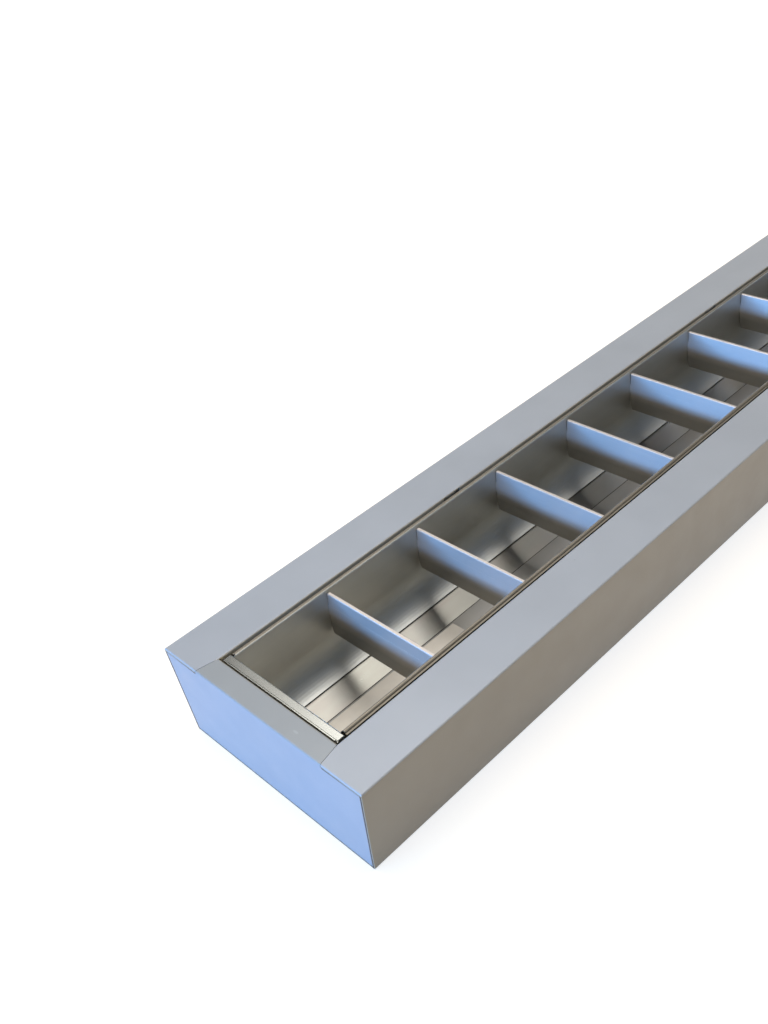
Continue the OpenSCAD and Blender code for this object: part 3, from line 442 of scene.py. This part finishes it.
# Spring steel and brass: drawn metal with fine lines
drawn = {
    "springSteel": {
        "colour": (0.56, 0.56, 0.56), "lineColour": (0.48, 0.48, 0.49),
        "roughness": (0.2, 0.3), "lines": (0.3, 6, 0.3), "detail": 2.0, "depth": 0.008},
    "brass": {
        "colour": (0.62, 0.46, 0.20), "lineColour": (0.52, 0.38, 0.17),
        "roughness": (0.24, 0.36), "lines": (2, 2, 0.3), "detail": 3.0, "depth": 0.01},
}


def drawnFinish(name, spec):
    finish = Finish(name)
    lines = finish.noise(spec["lines"], spec["detail"])
    return finish.set(Base_Color=finish.mix(lines, spec["colour"], spec["lineColour"]),
                      Metallic=1.0, Roughness=finish.ramp(lines, *soft, *spec["roughness"]),
                      Normal=finish.bumped(lines, spec["depth"])).material


# Moulded plastics, rubber and wire sleeves share one recipe
sleeve = {"roughness": 0.40, "grain": 0.4, "depth": 0.006}
moulded = {
    "whitePlastic": {"colour": (0.80, 0.80, 0.76), "shade": (0.77, 0.765, 0.72),
                     "roughness": 0.42, "grain": 0.5, "depth": 0.012},
    "rotorPlastic": {"colour": (0.72, 0.72, 0.69), "shade": (0.69, 0.685, 0.66),
                     "roughness": 0.36, "grain": 0.5, "depth": 0.012},
    "starterCan": {"colour": (0.78, 0.78, 0.76), "shade": (0.74, 0.735, 0.71),
                   "roughness": 0.34, "grain": 0.4, "depth": 0.008},
    "rubber": {"colour": (0.035, 0.035, 0.037), "shade": (0.05, 0.05, 0.05),
               "roughness": 0.62, "grain": 0.4, "depth": 0.02},
    "greySleeve": {"colour": (0.10, 0.11, 0.12), "shade": (0.12, 0.13, 0.14), **sleeve},
    "whiteSleeve": {"colour": (0.78, 0.78, 0.75), "shade": (0.74, 0.74, 0.70), **sleeve},
    "blueSleeve": {"colour": (0.05, 0.16, 0.50), "shade": (0.06, 0.19, 0.55), **sleeve},
    "brownSleeve": {"colour": (0.15, 0.075, 0.04), "shade": (0.18, 0.09, 0.05), **sleeve},
}
mouldCloud = 9
mouldSpread = 0.12  # how far the roughness strays to each side, as a share of it


def mouldedFinish(name, spec):
    finish = Finish(name)
    cloud = finish.patches(mouldCloud)
    fine = finish.noise(spec["grain"], detail=2.0, seed=5.0)
    low, high = (spec["roughness"] * (1 + spread) for spread in (-mouldSpread, mouldSpread))
    return finish.set(Base_Color=finish.mix(cloud, spec["colour"], spec["shade"]),
                      Roughness=finish.ramp(fine, *soft, low, high),
                      Normal=finish.bumped(fine, spec["depth"])).material


# Bare satin film
label = {"colour": (0.64, 0.58, 0.49), "shade": (0.59, 0.53, 0.45), "cloudSize": 12,
         "roughness": (0.34, 0.42), "metallic": 0.2, "ripple": 4, "depth": 0.02}


def labelFinish(name):
    finish = Finish(name)
    cloud = finish.patches(label["cloudSize"])
    ripple = finish.noise(label["ripple"], detail=2.0)
    return finish.set(Base_Color=finish.mix(cloud, label["colour"], label["shade"]),
                      Metallic=label["metallic"],
                      Roughness=finish.ramp(cloud, 0.0, 1.0, *label["roughness"]),
                      Normal=finish.bumped(ripple, label["depth"])).material


# Varnished sheet pack: thin dark lines where the sheets meet
core = {"colour": (0.24, 0.245, 0.25), "shade": (0.19, 0.18, 0.17), "varnishSize": 15,
        "lineColour": (0.10, 0.105, 0.11), "lines": {"Scale": 0.55, "Distortion": 0.3, "Detail": 2.0},
        "roughness": (0.38, 0.5), "metallic": 0.55, "depth": 0.05}


def coreFinish(name):
    finish = Finish(name)
    lines = finish.add("ShaderNodeTexWave", {"wave_type": "BANDS", "bands_direction": "Z"}, {
        "Vector": finish.stretched((1 / mm, 1 / mm, 1 / mm)), **core["lines"]})
    varnish = finish.patches(core["varnishSize"])
    colour = finish.mix(varnish, core["colour"], core["shade"])
    return finish.set(Base_Color=finish.mix(lines, core["lineColour"], colour),
                      Metallic=core["metallic"],
                      Roughness=finish.ramp(varnish, 0.0, 1.0, *core["roughness"]),
                      Normal=finish.bumped(lines, core["depth"])).material


# Green and yellow sleeve: the stripe winds slowly round the earth wire
earth = {"green": (0.10, 0.30, 0.06), "yellow": (0.62, 0.55, 0.06), "winding": (60, 700, 500),
         "edge": 0.35, "roughness": (0.38, 0.46), "grain": 0.6, "depth": 0.006}


def earthFinish(name):
    finish = Finish(name)
    along, across, up = earth["winding"]
    turn = finish.part(1) * across + finish.part(2) * up + finish.part(0) * along
    stripe = turn.maths("SINE").above(earth["edge"])
    fine = finish.noise(earth["grain"], detail=2.0)
    return finish.set(Base_Color=finish.mix(stripe, earth["green"], earth["yellow"]),
                      Roughness=finish.ramp(fine, *soft, *earth["roughness"]),
                      Normal=finish.bumped(fine, earth["depth"])).material


finishes = {
    "silverPaint": paintFinish("silverPaint", "trayFace", "traySideShadedWarm"),
    "capPaint": paintFinish("capPaint", "capFace", "capPlateCoolLit"),
    "zincPlate": zincFinish("zincPlate"),
    "labelFilm": labelFinish("labelFilm"),
    "ballastCore": coreFinish("ballastCore"),
    "earthSleeve": earthFinish("earthSleeve"),
    **{name: sheetFinish(name, spec) for name, spec in sheets.items()},
    **{name: drawnFinish(name, spec) for name, spec in drawn.items()},
    **{name: mouldedFinish(name, spec) for name, spec in moulded.items()},
}
print("finishes made:", len(finishes))

wears = {
    "silverPaint": ["housing_tray"],
    "capPaint": ["end_cap_near", "end_cap_far"],
    "satinSheet": ["side_reflector_left", "side_reflector_right"],
    "centreSheet": ["centre_reflector"],
    "stripSheet": ["centre_strip"],
    "barSheet": ["end_bar_near", "end_bar_far"],
    "bladeSheet": [name for name in nodes if name.startswith("cross_blade_")],
    "zincPlate": ["end_cap_rivets", "reflector_screws", "holder_bracket_near",
                  "holder_bracket_far", "ballast_screws", "terminal_screws", "hinge_brackets",
                  "hinge_arms", "catch_plates"],
    "springSteel": ["hinge_pins", "catch_near", "catch_far", "catch_strikes"],
    "whitePlastic": ["lampholder_near", "lampholder_far", "ballast_terminal", "starter_holder",
                     "terminal_block"],
    "rotorPlastic": ["rotor_near", "rotor_far"],
    "starterCan": ["starter"],
    "labelFilm": ["rating_label"],
    "ballastCore": ["ballast"],
    "rubber": ["cable_grommet"],
    "brass": ["earth_screw"],
    "greySleeve": ["wire_ballast"],
    "whiteSleeve": ["wire_starter_near", "wire_starter_far"],
    "blueSleeve": ["wire_neutral"],
    "brownSleeve": ["wire_live"],
    "earthSleeve": ["wire_earth"],
}


def dressNodes():
    for finishName, names in wears.items():
        for name in names:
            mesh = nodes[name].data
            mesh.materials.clear()
            mesh.materials.append(finishes[finishName])
    bare = sorted(set(nodes) - {name for names in wears.values() for name in names})
    print("dressed:", len(nodes) - len(bare), "nodes; bare:", bare)


makeCamera()
makeWorld()
makeFloor()
makeCeiling()
for lightName, lightSpec in studio["lights"].items():
    makeLight(lightName, lightSpec)
print("studio ready")
dressNodes()

bpy.context.scene.view_settings.view_transform = "Standard"
